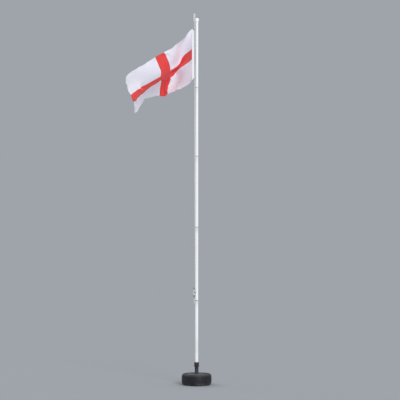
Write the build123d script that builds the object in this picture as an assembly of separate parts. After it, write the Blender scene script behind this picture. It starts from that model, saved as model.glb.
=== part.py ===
from build123d import *
import os
from math import cos, radians, sin, tan

# Free-standing flagpole with a flag. A car tyre lies flat and is filled with concrete.
# A steel socket tube is cast into the concrete and holds a sleeved pole of equal sections.
# Millimetres. Origin on the ground under the pole, +Z up the pole, the flag flies towards -X,
# and -Y is the side the flag and the cleat are seen from.

# Tyre, lying on its side.
TYRE_DIAMETER = 554.0
TYRE_WIDTH = 200.0
BEAD_DIAMETER = 381.0
TREAD_WIDTH = 136.0
TREAD_CROWN = 4.0
TREAD_THICKNESS = 15.0
SIDEWALL_THICKNESS = 9.0
SIDEWALL_BULGE = 12.0
SHOULDER_STEP = 11.0
BEAD_LIP = 8.0
BEAD_HEIGHT = 24.0
TREAD_GROOVES = 4
GROOVE_WIDTH = 8.0
GROOVE_DEPTH = 6.5
GROOVE_PITCH = 27.0
SHOULDER_SLOTS = 40
SLOT_WIDTH = 6.0
SLOT_DEPTH = 5.5
SLOT_SKEW = 14.0

# Concrete cast in the tyre.
FILL_EDGE_HEIGHT = 187.0
FILL_CENTRE_HEIGHT = 195.0
SOCKET_FOOT = 30.0

# Pole of equal tube sections.
POLE_DIAMETER = 60.0
POLE_WALL = 2.5
SECTION_COUNT = 5
SECTION_LENGTH = 1381.0
POLE_FOOT = 153.0
SECTION_CHAMFER = 0.8
SLEEVE_LENGTH = 180.0
SLEEVE_WALL = 3.0
STOP_RING_HEIGHT = 4.0
STOP_RING_RECESS = 0.5

# Steel socket and the collar that closes round the pole.
SOCKET_WALL = 4.0
SOCKET_CLEARANCE = 1.0
SOCKET_HEIGHT = 396.0
COLLAR_DIAMETER = 88.0
COLLAR_HEIGHT = 85.0
COLLAR_LIP = 10.0
COLLAR_CHAMFER = 4.0

# Truck on the pole head: cap, fork, sheave and pin.
CAP_DIAMETER = 86.0
CAP_HEIGHT = 60.0
CAP_ROUND = 16.0
CAP_PLUG_LENGTH = 60.0
CAP_FLAT_X = -33.0
CHEEK_THICKNESS = 5.5
CHEEK_WIDTH = 44.0
FORK_BRIDGE = 6.0
SHEAVE_WIDTH = 18.0
SHEAVE_SIDE_GAP = 1.0
SHEAVE_LIFT = 132.0
SHEAVE_RIM = 3.0
PIN_RADIUS = 4.0
PIN_RUNNING_GAP = 0.1
PIN_HEAD_RADIUS = 7.0
PIN_HEAD_THICKNESS = 3.0

# Halyard: one rope over the sheave, both parts down to the cleat.
ROPE_RADIUS = 4.0
ROPE_SEAT = 0.3
WRAP_RADIUS = 30.0
LEAD_ABOVE_CLEAT = 48.0
FLAG_LINE_LEAD = (-20.0, -46.0)
FREE_LINE_LEAD = (-30.0, -24.0)
FLAG_LINE_END = (-31.0, -34.0)
FREE_LINE_END = (-36.0, -24.0)
LEAD_INTO_HANK = 55.0
LEAD_BEND_RADIUS = 400.0
HEAD_RUN = 100.0
HEAD_BEND_RADIUS = 8000.0

# Rope's turns on the cleat, and the free end that hangs below them.
HANK_LENGTH = 120.0
HANK_WIDTH = 44.0
HANK_DEPTH = 32.0
HANK_ROUND = 6.0
TAIL_ROUTE = ((-46, -6, -47), (-46, -5, -87), (-48, -2, -126), (-46.5, -6, -163), (-45, -9, -200))
TAIL_SHARE = 0.45

# Cleat on the front left of the pole.
CLEAT_AZIMUTH = 205.0
CLEAT_HEIGHT = 1685.0
CLEAT_LENGTH = 190.0
CLEAT_WIDTH = 16.0
CLEAT_FOOT_LENGTH = 62.0
CLEAT_FOOT_THICKNESS = 5.0
CLEAT_NECK_LENGTH = 34.0
CLEAT_NECK_REACH = 12.0
CLEAT_HORN_THICKNESS = 9.0
CLEAT_TIP_THICKNESS = 5.0
CLEAT_HORN_RISE = 5.0

# Flag, with its header tape, grommets and ring clips.
FLAG_DROP = 174.0
FLAG_HOIST = 1050.0
FLAG_FLY = 1750.0
HEADER_OFFSET = 12.0
HEADER_WIDTH = 38.0
HEADER_THICKNESS = 3.0
CLOTH_THICKNESS = 2.0
GROMMET_INSET = 24.0
GROMMET_SIDE = 13.0
GROMMET_HOLE_RADIUS = 5.0
GROMMET_RIM_RADIUS = 10.0
GROMMET_RIM = 1.2
CLIP_WIRE_RADIUS = 2.5
CLIP_HALF_WIDTH = 9.0

# Guide lines of the flying cloth, from its top edge to its lower edge at even steps of the hoist.
# Each point is out along the fly, back from the flag's rope and down from the flag's top, the first
# two as shares of the cloth's length and the last of the hoist. Each line is about as long as the
# cloth: the top edge swings forward, and the cloth below it bellies back.
TOP_EDGE = ((0, 0, 0), (0.12, -0.04, 0.22), (0.25, -0.07, 0.42), (0.38, -0.1, 0.57))
TOP_EDGE += ((0.52, -0.13, 0.73), (0.65, -0.17, 0.89), (0.75, -0.23, 1.1))
UPPER_LINE = ((0, 0, 0.25), (0.12, 0.09, 0.35), (0.21, 0.05, 0.58), (0.33, 0, 0.75))
UPPER_LINE += ((0.47, -0.04, 0.91), (0.62, -0.05, 1.04), (0.73, -0.1, 1.22))
CROSS_LINE = ((0, 0, 0.5), (0.09, 0.14, 0.57), (0.22, 0.19, 0.7), (0.33, 0.12, 0.87))
CROSS_LINE += ((0.46, 0.1, 1.03), (0.59, 0.06, 1.19), (0.69, 0.01, 1.38))
LOWER_LINE = ((0, 0, 0.75), (0.1, 0.12, 0.82), (0.19, 0.25, 0.91), (0.34, 0.27, 0.94))
LOWER_LINE += ((0.49, 0.24, 1.04), (0.6, 0.21, 1.23), (0.68, 0.15, 1.45))
LOWER_EDGE = ((0, 0, 1), (0.1, 0.12, 1.08), (0.24, 0.21, 1.14), (0.34, 0.34, 1.14))
LOWER_EDGE += ((0.5, 0.39, 1.12), (0.61, 0.35, 1.28), (0.69, 0.3, 1.51))
GUIDE_LINES = (TOP_EDGE, UPPER_LINE, CROSS_LINE, LOWER_LINE, LOWER_EDGE)

# Fits.
SEAT_GAP = 0.2
CLOTH_SEAT = 1.2

pole_radius = POLE_DIAMETER / 2
pole_bore = pole_radius - POLE_WALL
section_pitch = SECTION_LENGTH + STOP_RING_HEIGHT
pole_head = POLE_FOOT + SECTION_COUNT * section_pitch - STOP_RING_HEIGHT
socket_bore = pole_radius + SOCKET_CLEARANCE
socket_radius = socket_bore + SOCKET_WALL
tyre_radius = TYRE_DIAMETER / 2
bead_radius = BEAD_DIAMETER / 2
sheave_z = pole_head + SHEAVE_LIFT
sheave_x = CAP_FLAT_X - CHEEK_THICKNESS - SHEAVE_SIDE_GAP - SHEAVE_WIDTH / 2
head_run_z = sheave_z - HEAD_RUN
lead_z = CLEAT_HEIGHT + CLEAT_LENGTH / 2 + LEAD_ABOVE_CLEAT
flag_top = pole_head - FLAG_DROP
cloth_length = FLAG_FLY - HEADER_WIDTH


def turned(outline):
    """Solid of revolution about the pole's axis from a closed outline of radius and height."""
    return revolve(Plane.XZ * outline, Axis.Z)


def ring(inner, outer, low, high):
    """Plain tube between two heights."""
    return Pos(0, 0, low) * extrude(Circle(outer) - Circle(inner), high - low)


def tyre_section(side_wall, tread_wall):
    """Closed section of the tyre from the bead outwards, drawn in from its outside by a wall."""
    side = TYRE_WIDTH / 2 - side_wall
    tread = tyre_radius - tread_wall
    tread_half = TREAD_WIDTH / 2 - side_wall
    shoulder = tread - TREAD_CROWN
    sidewall_end = shoulder - SHOULDER_STEP
    lip_end = bead_radius + BEAD_LIP
    side_low = side - SIDEWALL_BULGE
    bulge_top = (lip_end + sidewall_end) / 2
    half = make_face(
        [
            Line((bead_radius, 0), (bead_radius, side_low - BEAD_LIP)),
            Line((bead_radius, side_low - BEAD_LIP), (lip_end, side_low)),
            ThreePointArc((lip_end, side_low), (bulge_top, side), (sidewall_end, side_low)),
            Line((sidewall_end, side_low), (shoulder, tread_half)),
            ThreePointArc((shoulder, tread_half), (tread - TREAD_CROWN / 4, tread_half / 2), (tread, 0)),
            Line((tread, 0), (bead_radius, 0)),
        ]
    )
    return half + mirror(half, Plane.XZ)


def tyre_turned(section):
    """Revolve a section drawn about the tyre's middle height."""
    middle = Plane(origin=(0, 0, TYRE_WIDTH / 2), x_dir=(1, 0, 0), z_dir=(0, -1, 0))
    return revolve(middle * section, Axis.Z)


def tyre():
    """Hollow tyre, open at both beads, with grooves round the tread and slots over its shoulders."""
    section = tyre_section(0, 0)
    cavity = tyre_section(SIDEWALL_THICKNESS, TREAD_THICKNESS)
    bead_gap = TYRE_WIDTH - 2 * SIDEWALL_BULGE - 2 * BEAD_HEIGHT
    mouth = Pos(bead_radius, 0) * Rectangle(4 * BEAD_LIP, bead_gap)
    carcass = section - (cavity - bead_blocks()) - mouth
    for number in range(TREAD_GROOVES):
        height = (number - (TREAD_GROOVES - 1) / 2) * GROOVE_PITCH
        carcass -= Pos(tyre_radius, height) * Rectangle(2 * GROOVE_DEPTH, GROOVE_WIDTH)
    return tyre_turned(carcass) - shoulder_slots()


def shoulder_slots():
    """Cutters for the slots that run from the outer grooves over both shoulders."""
    inner = (TREAD_GROOVES - 1) / 2 * GROOVE_PITCH
    outer = TREAD_WIDTH / 2 + SHOULDER_STEP
    slot = Box(2 * SLOT_DEPTH, SLOT_WIDTH, outer - inner)
    cutters = []
    for side in (-1, 1):
        height = TYRE_WIDTH / 2 + side * (inner + outer) / 2
        placed = Pos(tyre_radius - TREAD_CROWN, 0, height) * Rot(side * SLOT_SKEW, 0, 0) * slot
        cutters += [Rot(0, 0, number * 360 / SHOULDER_SLOTS) * placed for number in range(SHOULDER_SLOTS)]
    return cutters


def bead_blocks():
    """Thickened rings of rubber at the two beads."""
    height = TYRE_WIDTH / 2 - SIDEWALL_BULGE - BEAD_HEIGHT / 2
    width = 2 * BEAD_LIP
    block = Rectangle(width, BEAD_HEIGHT)
    return Pos(bead_radius + width / 2, height) * block + Pos(bead_radius + width / 2, -height) * block


def concrete_fill():
    """Concrete in the tyre's hollow and bead opening, sloped off the pole, with the socket cast in."""
    cavity = tyre_section(SIDEWALL_THICKNESS + SEAT_GAP, TREAD_THICKNESS + SEAT_GAP)
    grown_blocks = offset(bead_blocks(), SEAT_GAP, kind=Kind.INTERSECTION)
    body = tyre_turned(cavity - grown_blocks)
    core_radius = bead_radius - SEAT_GAP
    outline = Polyline(
        (0, 0),
        (core_radius, 0),
        (core_radius, FILL_EDGE_HEIGHT),
        (socket_radius, FILL_CENTRE_HEIGHT),
        (0, FILL_CENTRE_HEIGHT),
        close=True,
    )
    body += turned(make_face(outline))
    mouth = TYRE_WIDTH / 2 - SIDEWALL_BULGE - BEAD_HEIGHT - SEAT_GAP
    body += ring(socket_radius, bead_radius + BEAD_LIP, TYRE_WIDTH / 2 - mouth, TYRE_WIDTH / 2 + mouth)
    body -= ring(socket_bore - SEAT_GAP, socket_radius + SEAT_GAP, SOCKET_FOOT, FILL_CENTRE_HEIGHT + 1)
    body -= Pos(0, 0, POLE_FOOT) * extrude(Circle(socket_radius), FILL_CENTRE_HEIGHT)
    return body


def socket_tube():
    """Steel tube cast into the concrete; the pole stands in it."""
    return ring(socket_bore, socket_radius, SOCKET_FOOT, SOCKET_HEIGHT)


def socket_collar():
    """Wider collar over the tube's mouth, with a lip that closes round the pole."""
    low = SOCKET_HEIGHT + COLLAR_LIP - COLLAR_HEIGHT
    high = SOCKET_HEIGHT + COLLAR_LIP
    body = Pos(0, 0, low) * extrude(Circle(COLLAR_DIAMETER / 2), COLLAR_HEIGHT)
    body = chamfer(body.edges(), COLLAR_CHAMFER)
    body -= Pos(0, 0, low) * extrude(Circle(socket_radius + SEAT_GAP), SOCKET_HEIGHT - low)
    body -= Pos(0, 0, SOCKET_HEIGHT) * extrude(Circle(pole_radius + SEAT_GAP), high - SOCKET_HEIGHT)
    return body


def pole_section(number):
    """One tube of the pole, its ends chamfered."""
    low = POLE_FOOT + number * section_pitch
    tube = Pos(0, 0, low) * extrude(Circle(pole_radius), SECTION_LENGTH)
    tube = chamfer(tube.edges(), SECTION_CHAMFER)
    return tube - Pos(0, 0, low) * extrude(Circle(pole_bore), SECTION_LENGTH)


def joint_sleeve(number):
    """Inner sleeve between two sections, with the stop ring that shows as a dark line."""
    low = POLE_FOOT + number * section_pitch + SECTION_LENGTH
    outer = pole_bore - SEAT_GAP
    middle = low + STOP_RING_HEIGHT / 2
    sleeve = ring(outer - SLEEVE_WALL, outer, middle - SLEEVE_LENGTH / 2, middle + SLEEVE_LENGTH / 2)
    stop = ring(outer - SLEEVE_WALL, pole_radius - STOP_RING_RECESS, low, low + STOP_RING_HEIGHT)
    return sleeve + stop


def truck_cap():
    """Cap on the pole head: a plug in the tube, a rounded cap, and a flat side for the fork."""
    plug = Pos(0, 0, pole_head - CAP_PLUG_LENGTH) * extrude(Circle(pole_bore - SEAT_GAP), CAP_PLUG_LENGTH)
    cap = Pos(0, 0, pole_head) * extrude(Circle(CAP_DIAMETER / 2), CAP_HEIGHT)
    cap = fillet(cap.edges().group_by(Axis.Z)[-1], CAP_ROUND)
    beyond = Pos(CAP_FLAT_X - CAP_DIAMETER / 2, 0, pole_head + CAP_HEIGHT / 2) * Box(
        CAP_DIAMETER, CAP_DIAMETER, 2 * CAP_HEIGHT
    )
    return plug + (cap - beyond)


def truck_fork():
    """Upright fork beside the cap: two cheeks with round heads, joined by a bridge at the foot."""
    low = pole_head
    span = 2 * CHEEK_THICKNESS + 2 * SHEAVE_SIDE_GAP + SHEAVE_WIDTH
    side_plane = Plane(origin=(CAP_FLAT_X, 0, 0), x_dir=(0, 1, 0), z_dir=(1, 0, 0))
    head = Pos(0, sheave_z) * Circle(CHEEK_WIDTH / 2)
    blade = Pos(0, (low + sheave_z) / 2) * Rectangle(CHEEK_WIDTH, sheave_z - low)
    eye = Pos(0, sheave_z) * Circle(PIN_RADIUS + PIN_RUNNING_GAP)
    block = extrude(side_plane * (head + blade - eye), -span)
    slot_width = span - 2 * CHEEK_THICKNESS
    slot_height = sheave_z + CHEEK_WIDTH - low - FORK_BRIDGE
    slot = Box(slot_width, 2 * CHEEK_WIDTH, slot_height)
    return block - Pos(sheave_x, 0, low + FORK_BRIDGE + slot_height / 2) * slot


def sheave():
    """Grooved pulley wheel, its axle running left to right."""
    bore = PIN_RADIUS + PIN_RUNNING_GAP
    rim = WRAP_RADIUS + SHEAVE_RIM
    groove = ROPE_RADIUS + ROPE_SEAT
    section = Pos(0, (bore + rim) / 2) * Rectangle(SHEAVE_WIDTH, rim - bore)
    section -= Pos(0, WRAP_RADIUS) * Circle(groove)
    section -= Pos(0, WRAP_RADIUS + SHEAVE_RIM) * Rectangle(2 * groove, 2 * SHEAVE_RIM)
    side_plane = Plane(origin=(sheave_x, 0, sheave_z), x_dir=(1, 0, 0), z_dir=(0, -1, 0))
    return revolve(side_plane * section, Axis((sheave_x, 0, sheave_z), (1, 0, 0)))


def sheave_pin():
    """Pin through the fork's cheeks that carries the sheave, with a head on the outer cheek."""
    inner_end = CAP_FLAT_X - SEAT_GAP
    outer_face = CAP_FLAT_X - 2 * CHEEK_THICKNESS - 2 * SHEAVE_SIDE_GAP - SHEAVE_WIDTH
    shank_plane = Plane(origin=(outer_face, 0, sheave_z), z_dir=(1, 0, 0))
    shank = extrude(shank_plane * Circle(PIN_RADIUS), inner_end - outer_face)
    head = extrude(shank_plane * Circle(PIN_HEAD_RADIUS), -PIN_HEAD_THICKNESS)
    return shank + head


def cleat_frame():
    """Plane on the pole's axis at the cleat: x straight out through the cleat, y up the pole."""
    out = (cos(radians(CLEAT_AZIMUTH)), sin(radians(CLEAT_AZIMUTH)), 0)
    across = (sin(radians(CLEAT_AZIMUTH)), -cos(radians(CLEAT_AZIMUTH)), 0)
    return Plane(origin=(0, 0, CLEAT_HEIGHT), x_dir=out, z_dir=across)


def cleat_profile(room=0.0):
    """Side view of the cleat, out from the pole's axis and up, its outline grown by room."""
    foot_top = pole_radius + CLEAT_FOOT_THICKNESS + room
    horn_in = pole_radius + CLEAT_FOOT_THICKNESS + CLEAT_NECK_REACH - room
    horn_out = horn_in + CLEAT_HORN_THICKNESS + 2 * room
    tip = CLEAT_LENGTH / 2 + room
    tip_in = horn_in + CLEAT_HORN_RISE
    tip_out = tip_in + CLEAT_TIP_THICKNESS + 2 * room
    foot = Pos(foot_top / 2, 0) * Rectangle(foot_top, CLEAT_FOOT_LENGTH + 2 * room)
    neck_top = (horn_in + horn_out) / 2
    neck = Pos((foot_top + neck_top) / 2, 0) * Rectangle(neck_top - foot_top, CLEAT_NECK_LENGTH + 2 * room)
    inner = ThreePointArc((tip_in, -tip), (horn_in, 0), (tip_in, tip))
    outer = ThreePointArc((tip_out, tip), (horn_out, 0), (tip_out, -tip))
    horns = make_face([inner, Line(inner @ 1, outer @ 0), outer, Line(outer @ 1, inner @ 0)])
    return foot + neck + horns


def cleat():
    """Horn cleat, its foot shaped to the pole."""
    body = extrude(cleat_frame() * cleat_profile(), CLEAT_WIDTH / 2, both=True)
    return body - Pos(0, 0, CLEAT_HEIGHT) * Cylinder(pole_radius + SEAT_GAP, 2 * CLEAT_LENGTH)


def halyard_turns():
    """Closed shape of the rope's turns over the cleat's neck and under its horns."""
    frame = cleat_frame()
    low = pole_radius + CLEAT_FOOT_THICKNESS + SEAT_GAP
    face_plane = Plane(origin=frame.origin + frame.x_dir * low, x_dir=(0, 0, 1), z_dir=frame.x_dir)
    hank = extrude(face_plane * SlotOverall(HANK_LENGTH, HANK_WIDTH), HANK_DEPTH)
    far_edges = hank.edges().sort_by(Axis(frame.origin, frame.x_dir))[-4:]
    hank = fillet(far_edges, HANK_ROUND)
    return hank - extrude(frame * cleat_profile(SEAT_GAP), CLEAT_WIDTH / 2 + SEAT_GAP, both=True)


def halyard_path():
    """Rope's centre line: up the flag's side, over the sheave, and down the free side."""
    end_z = lead_z - LEAD_ABOVE_CLEAT - LEAD_INTO_HANK
    radii = [LEAD_BEND_RADIUS, HEAD_BEND_RADIUS]
    front_top = (sheave_x, -WRAP_RADIUS, sheave_z)
    back_top = (sheave_x, WRAP_RADIUS, sheave_z)
    front = FilletPolyline(
        (*FLAG_LINE_END, end_z),
        (*FLAG_LINE_LEAD, lead_z),
        (sheave_x, -WRAP_RADIUS, head_run_z),
        front_top,
        radius=radii,
    )
    over = ThreePointArc(front_top, (sheave_x, 0, sheave_z + WRAP_RADIUS), back_top)
    back = FilletPolyline(
        back_top,
        (sheave_x, WRAP_RADIUS, head_run_z),
        (*FREE_LINE_LEAD, lead_z),
        (*FREE_LINE_END, end_z),
        radius=radii[::-1],
    )
    return front + over + back


def rope_along(path):
    """Round rope swept along a centre line."""
    start = Plane(origin=path @ 0, z_dir=path % 0)
    return sweep(start * Circle(ROPE_RADIUS), path=path)


def halyard():
    """Taut rope from the cleat over the sheave and back to the cleat."""
    return rope_along(halyard_path())


def halyard_tail():
    """Rope's free end, hanging from the turns on the cleat."""
    points = [Vector(x, y, CLEAT_HEIGHT + drop) for x, y, drop in TAIL_ROUTE]
    runs = [after - before for before, after in zip(points, points[1:])]
    radii = []
    for before, after in zip(runs, runs[1:]):
        shorter = min(before.length, after.length)
        half_turn = radians(before.get_angle(after)) / 2
        radii.append(TAIL_SHARE * shorter / tan(half_turn))
    return rope_along(FilletPolyline(*points, radius=radii))


def flag_frame():
    """Plane on the flag's rope at the flag's top: x out along the fly, y to the front, z up the rope."""
    head = Vector(sheave_x, -WRAP_RADIUS, head_run_z)
    foot = Vector(*FLAG_LINE_LEAD, lead_z)
    up = (head - foot).normalized()
    share = (flag_top - lead_z) / (head_run_z - lead_z)
    return Plane(origin=foot + (head - foot) * share, x_dir=(-1, 0, 0), z_dir=up)


def flag_header():
    """Tape along the hoist, pierced for the two grommets."""
    centre = (HEADER_OFFSET + HEADER_WIDTH / 2, 0, -FLAG_HOIST / 2)
    tape = Pos(*centre) * Box(HEADER_WIDTH, HEADER_THICKNESS, FLAG_HOIST)
    for height in grommet_heights():
        tape -= grommet_place(height) * Cylinder(GROMMET_RIM_RADIUS, 2 * HEADER_THICKNESS)
    return flag_frame() * tape


def grommet_heights():
    """Heights of the two grommets below the flag's top."""
    return (-GROMMET_SIDE, GROMMET_SIDE - FLAG_HOIST)


def grommet_place(height):
    """Place of a grommet in the tape, its axis through the tape."""
    return Pos(GROMMET_INSET, 0, height) * Rot(90, 0, 0)


def grommet(height):
    """Flanged metal eye set in the header tape."""
    thickness = HEADER_THICKNESS
    body = Cylinder(GROMMET_RIM_RADIUS - SEAT_GAP, thickness)
    for side in (-1, 1):
        body += Pos(0, 0, side * (thickness / 2 + GROMMET_RIM / 2)) * Cylinder(GROMMET_RIM_RADIUS, GROMMET_RIM)
    body -= Cylinder(GROMMET_HOLE_RADIUS, 2 * thickness)
    return flag_frame() * grommet_place(height) * body


def flag_clip(height):
    """Oval wire ring round the rope and through a grommet, bearing on the eye's upper edge."""
    back = ROPE_RADIUS + CLIP_WIRE_RADIUS + ROPE_SEAT
    centre = (GROMMET_INSET - back) / 2
    lift = GROMMET_HOLE_RADIUS - CLIP_WIRE_RADIUS - ROPE_SEAT
    oval = Pos(centre, 0, height + lift) * SlotOverall(back + GROMMET_INSET, 2 * CLIP_HALF_WIDTH)
    path = oval.wire()
    start = Plane(origin=path @ 0, z_dir=path % 0)
    return flag_frame() * sweep(start * Circle(CLIP_WIRE_RADIUS), path=path)


def guide_points(shares):
    """Points along one guide line of the cloth, from its edge at the header tape."""
    start = HEADER_OFFSET + HEADER_WIDTH + CLOTH_SEAT
    return [
        Vector(start + out * cloth_length, -back * cloth_length, -down * FLAG_HOIST)
        for out, back, down in shares
    ]


def flag_cloth():
    """The flying cloth as one thin curved sheet through its guide lines."""
    surface = Face.make_surface_from_array_of_points([guide_points(shares) for shares in GUIDE_LINES])
    return flag_frame() * thicken(surface, CLOTH_THICKNESS / 2, both=True)


def all_nodes():
    """Every sub-part by its node name."""
    nodes = {
        "tyre": tyre(),
        "concrete_fill": concrete_fill(),
        "socket_tube": socket_tube(),
        "socket_collar": socket_collar(),
        "truck_cap": truck_cap(),
        "truck_fork": truck_fork(),
        "sheave": sheave(),
        "sheave_pin": sheave_pin(),
        "cleat": cleat(),
        "halyard": halyard(),
        "halyard_turns": halyard_turns(),
        "halyard_tail": halyard_tail(),
        "flag_header": flag_header(),
        "flag_cloth": flag_cloth(),
    }
    for number in range(SECTION_COUNT):
        nodes[f"pole_section_{number + 1}"] = pole_section(number)
    for number in range(SECTION_COUNT - 1):
        nodes[f"joint_sleeve_{number + 1}"] = joint_sleeve(number)
    for end, height in zip(("top", "bottom"), grommet_heights()):
        nodes[f"grommet_{end}"] = grommet(height)
        nodes[f"flag_clip_{end}"] = flag_clip(height)
    return nodes


os.makedirs("parts", exist_ok=True)
for name, solid in all_nodes().items():
    export_step(solid, f"parts/{name}.step")
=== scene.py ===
from math import cos, pi, radians, sin

import bpy
import numpy as np
from mathutils import Matrix, Vector, noise


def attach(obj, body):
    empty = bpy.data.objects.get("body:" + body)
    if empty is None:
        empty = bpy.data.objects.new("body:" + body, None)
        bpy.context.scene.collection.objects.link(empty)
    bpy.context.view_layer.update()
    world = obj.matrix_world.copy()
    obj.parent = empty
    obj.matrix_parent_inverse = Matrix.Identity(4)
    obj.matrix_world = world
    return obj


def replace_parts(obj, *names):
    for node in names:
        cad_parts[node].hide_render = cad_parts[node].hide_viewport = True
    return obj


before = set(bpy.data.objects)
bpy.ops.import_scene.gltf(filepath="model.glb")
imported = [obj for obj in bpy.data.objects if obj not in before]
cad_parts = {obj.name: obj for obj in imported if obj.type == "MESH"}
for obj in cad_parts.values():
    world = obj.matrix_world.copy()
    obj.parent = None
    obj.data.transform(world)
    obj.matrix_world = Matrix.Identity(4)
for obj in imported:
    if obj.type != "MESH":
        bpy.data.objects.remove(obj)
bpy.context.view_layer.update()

# Free-standing flagpole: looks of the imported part. Metres, the pole's axis is the world's Z axis,
# the flag flies towards -X and the viewer stands on the -Y side.

# Camera.
LENS = 60.917
SENSOR = 36.0
CAMERA_PLACE = (0.063, -12.8654, 1.45063)
CAMERA_RISE = 8.8305

# Stage. The floor's paint is what the object is lit by, and its tone is what the viewer sees.
FLOOR_RADIUS = 60.0
FLOOR_FADE_START = 5.0
FLOOR_FADE_END = 10.0
FLOOR_PAINT = (219, 223, 227)
FLOOR_TONE = (172, 177, 182)
BACKDROP_TONE = (158, 164, 170)
FILL_COLOUR = (0.96, 0.98, 1.0, 1.0)
FILL_STRENGTH = 0.56

# Lamps: where each shines to, its strength and its spread in degrees.
LAMPS = {
    "key": ((-0.42, 0.88, -0.48), 1.62, 20.0),
    "rim": ((0.7, -0.5, -0.6), 0.35, 30.0),
}

# Tyre and concrete.
TYRE_WIDTH = 0.200
BEAD_RADIUS = 0.1905
FILL_EDGE_Z = 0.187
FILL_CENTRE_Z = 0.195
SOCKET_RADIUS = 0.035
CONCRETE_SEGMENTS = 180
CONCRETE_RINGS = 30
SMEAR_RINGS = 6

# Rings moulded on the tyre's sidewalls: radius, half width and height.
SIDEWALL_RIBS = (
    (0.2065, 0.0016, 0.0012),
    (0.2125, 0.0009, 0.0008),
    (0.2400, 0.0009, 0.0009),
    (0.2440, 0.0009, 0.0009),
    (0.2480, 0.0009, 0.0009),
)

# Socket collar.
COLLAR_RADIUS = 0.044
COLLAR_LOW = 0.321
COLLAR_HIGH = 0.406

# Pole.
JOINT_HEIGHTS = (1.536, 2.921, 4.306, 5.691)

# Truck and sheave over which the halyard runs.
SHEAVE_X = -0.0485
SHEAVE_Z = 7.206
SHEAVE_HALF_WIDTH = 0.009
WRAP_RADIUS = 0.030
HEAD_RUN_Z = 7.106

# Heads of fasteners, ring by ring: radius and height in shares of their size, and number of flats.
BOLT_HEAD = (
    (1.05, 0.16, 0), (0.98, 0.20, 0), (0.80, 0.20, 6), (0.84, 0.24, 6), (0.84, 0.76, 6),
    (0.80, 0.84, 0), (0.0005, 0.86, 0),
)
SCREW_HEAD = (
    (1.0, 0.10, 0), (0.94, 0.34, 0), (0.74, 0.52, 0), (0.46, 0.60, 0), (0.38, 0.60, 6),
    (0.36, 0.14, 6), (0.02, 0.12, 0),
)
FASTENER_DEPTH = 0.001

# Halyard.
ROPE_RADIUS = 0.004
STRAND_RADIUS = ROPE_RADIUS * 0.464
STRAND_COUNT = 3
STRAND_PITCH = 0.030
HALYARD_STEP = 0.0038
TURNS_STEPS = (0.002, 0.004)
TAIL_STEP = 0.002
LEAD_Z = 1.828
FLAG_LINE_LEAD = (-0.020, -0.046)
FREE_LINE_LEAD = (-0.030, -0.024)
FLAG_LINE_END = (-0.031, -0.034)
FREE_LINE_END = (-0.036, -0.024)
LINE_END_Z = 1.725

# Cleat and the rope on it.
CLEAT_AZIMUTH = 205.0
CLEAT_Z = 1.685
TAIL_ROUTE = (
    (-0.046, -0.006, 1.638),
    (-0.046, -0.005, 1.598),
    (-0.048, -0.002, 1.559),
    (-0.0465, -0.006, 1.522),
    (-0.045, -0.009, 1.485),
)

# One wrap of the rope round a horn of the cleat: across, out and along the horn.
HORN_WRAP = (
    (0.0050, 0.0610, 0.0),
    (-0.0130, 0.0600, 0.002),
    (-0.0130, 0.0420, 0.004),
    (0.0130, 0.0420, 0.006),
    (0.0130, 0.0600, 0.0085),
)
HORN_WRAP_START = 0.0225
HORN_WRAP_PITCH = 0.0085

# Flag.
FLAG_TOP = 6.900
HOIST = 1.050
FLY = 1.750
HEADER_OFFSET = 0.012
HEADER_WIDTH = 0.038
HEADER_HALF = 0.0015
CROSS_ARM = 0.210
CLOTH_HALF = 0.0004
HEM_WIDTH = 0.015
HEM_HALF = 0.0010
SEAM_WIDTH = 0.008
SEAM_HALF = 0.0008
STITCH_PITCH = 0.0045
STITCH_SIZE = (0.0017, 0.0005, 0.0005)
STITCH_ROWS = (0.0035, HEADER_WIDTH - 0.0065, HEADER_WIDTH - 0.0030)

# Guide lines of the flying cloth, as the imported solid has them, at even steps of the hoist: out
# along the fly and back, as shares of the cloth's length, and down, as a share of the hoist.
TOP_EDGE = ((0, 0, 0), (0.12, -0.04, 0.22), (0.25, -0.07, 0.42), (0.38, -0.1, 0.57))
TOP_EDGE += ((0.52, -0.13, 0.73), (0.65, -0.17, 0.89), (0.75, -0.23, 1.1))
UPPER_LINE = ((0, 0, 0.25), (0.12, 0.09, 0.35), (0.21, 0.05, 0.58), (0.33, 0, 0.75))
UPPER_LINE += ((0.47, -0.04, 0.91), (0.62, -0.05, 1.04), (0.73, -0.1, 1.22))
CROSS_LINE = ((0, 0, 0.5), (0.09, 0.14, 0.57), (0.22, 0.19, 0.7), (0.33, 0.12, 0.87))
CROSS_LINE += ((0.46, 0.1, 1.03), (0.59, 0.06, 1.19), (0.69, 0.01, 1.38))
LOWER_LINE = ((0, 0, 0.75), (0.1, 0.12, 0.82), (0.19, 0.25, 0.91), (0.34, 0.27, 0.94))
LOWER_LINE += ((0.49, 0.24, 1.04), (0.6, 0.21, 1.23), (0.68, 0.15, 1.45))
LOWER_EDGE = ((0, 0, 1), (0.1, 0.12, 1.08), (0.24, 0.21, 1.14), (0.34, 0.34, 1.14))
LOWER_EDGE += ((0.5, 0.39, 1.12), (0.61, 0.35, 1.28), (0.69, 0.3, 1.51))
GUIDE_LINES = (TOP_EDGE, UPPER_LINE, CROSS_LINE, LOWER_LINE, LOWER_EDGE)

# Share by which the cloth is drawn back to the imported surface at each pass.
SOLID_HOLD = 0.03

# Share by which the cloth is drawn to the lines of sight at each pass, and how far a line reaches
# over the cloth's grid.
SIGHT_PULL = 0.35
SIGHT_REACH = 1.6

# The cloth's springs: steps across and down between their ends, and stiffness.
SPRINGS = (
    (1, 0, 1.0), (0, 1, 1.0), (1, 1, 0.35), (1, -1, 0.35),
    (2, 0, 0.10), (0, 2, 0.10), (4, 0, 0.05), (0, 4, 0.05),
)

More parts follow.
